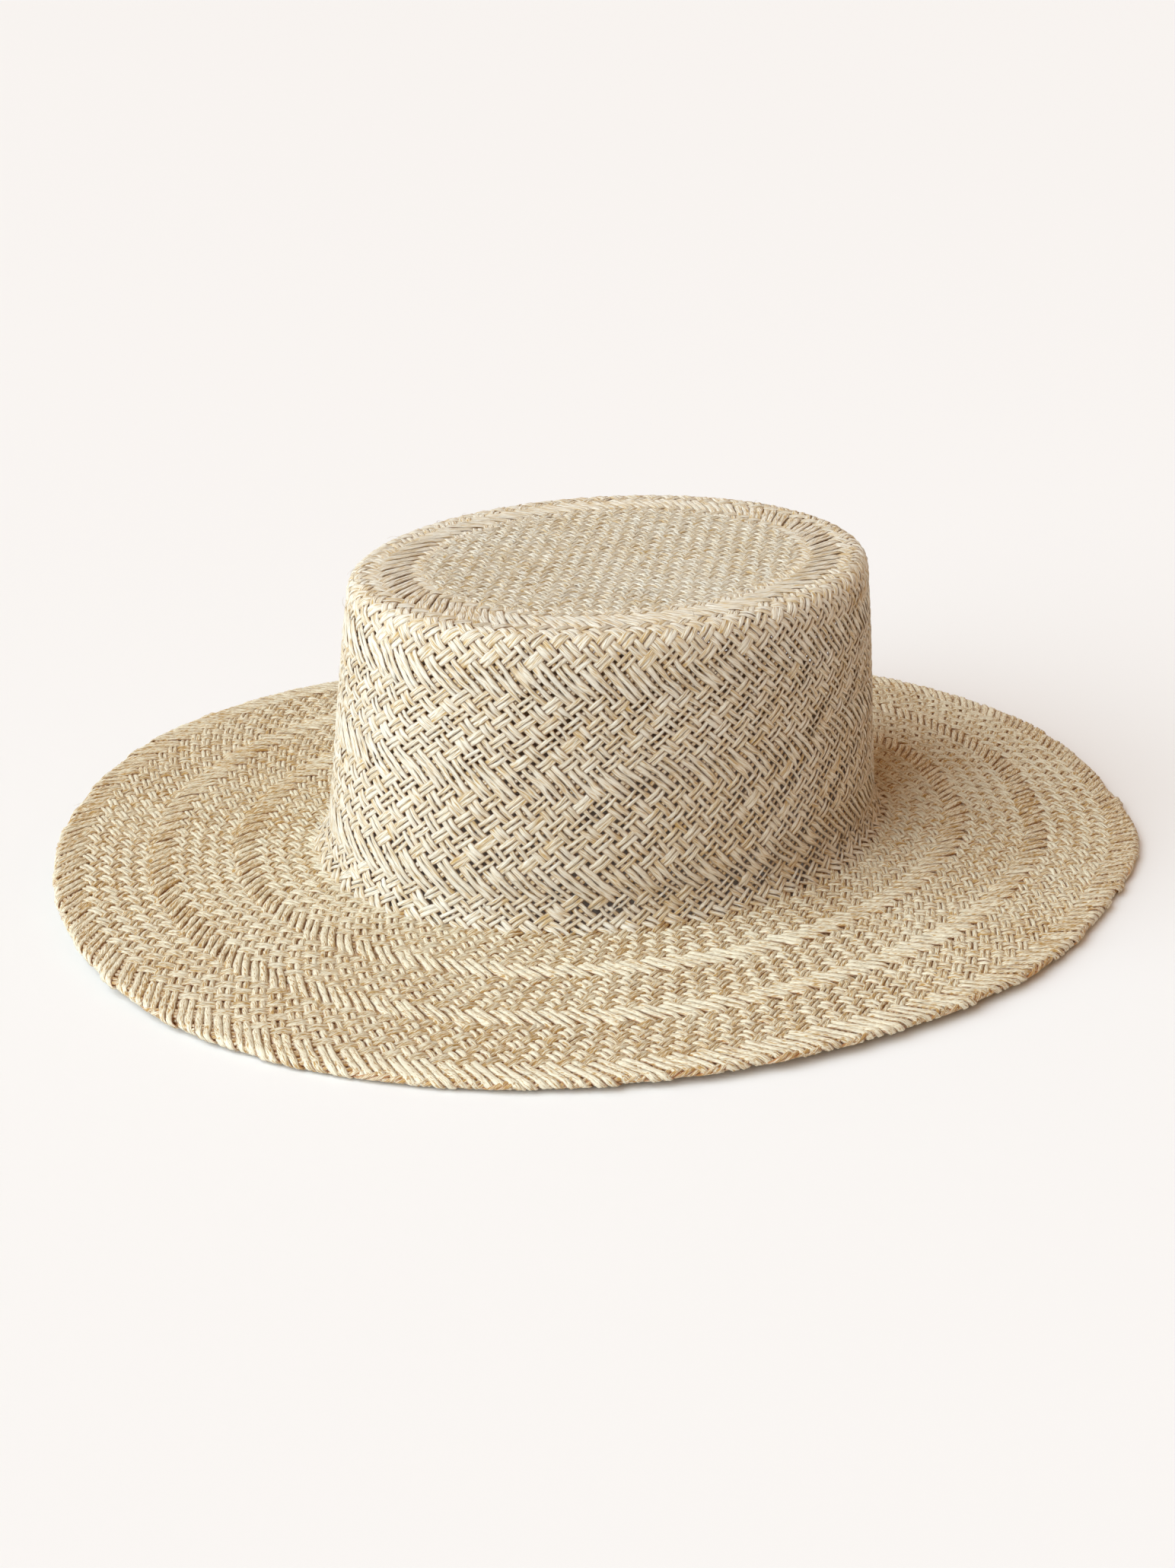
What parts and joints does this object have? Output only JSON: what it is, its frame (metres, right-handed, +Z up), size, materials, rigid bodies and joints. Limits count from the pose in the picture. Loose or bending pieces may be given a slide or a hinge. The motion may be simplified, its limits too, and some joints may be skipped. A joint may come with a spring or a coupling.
{
  "type": "straw hat",
  "caption": "Flat-topped straw hat with an oval crown, a wide gently waving brim and a turned-under edge, open below for the head.",
  "frame": {"origin": "middle of the hat's footprint, on the surface that it stands on", "axes": "+Z up, +Y towards the back of the head, -Y towards the front"},
  "size_m": [0.3398, 0.3842, 0.1036],
  "materials": {
    "crown_straw": "pale natural straw, openly woven, matt",
    "brim_straw": "natural straw, closely woven, matt",
    "hem_straw": "natural straw turned under, matt"
  },
  "bodies": {
    "root": {"crown": "crown_straw", "brim": "brim_straw", "brim_hem": "hem_straw"}
  },
  "joints": []
}
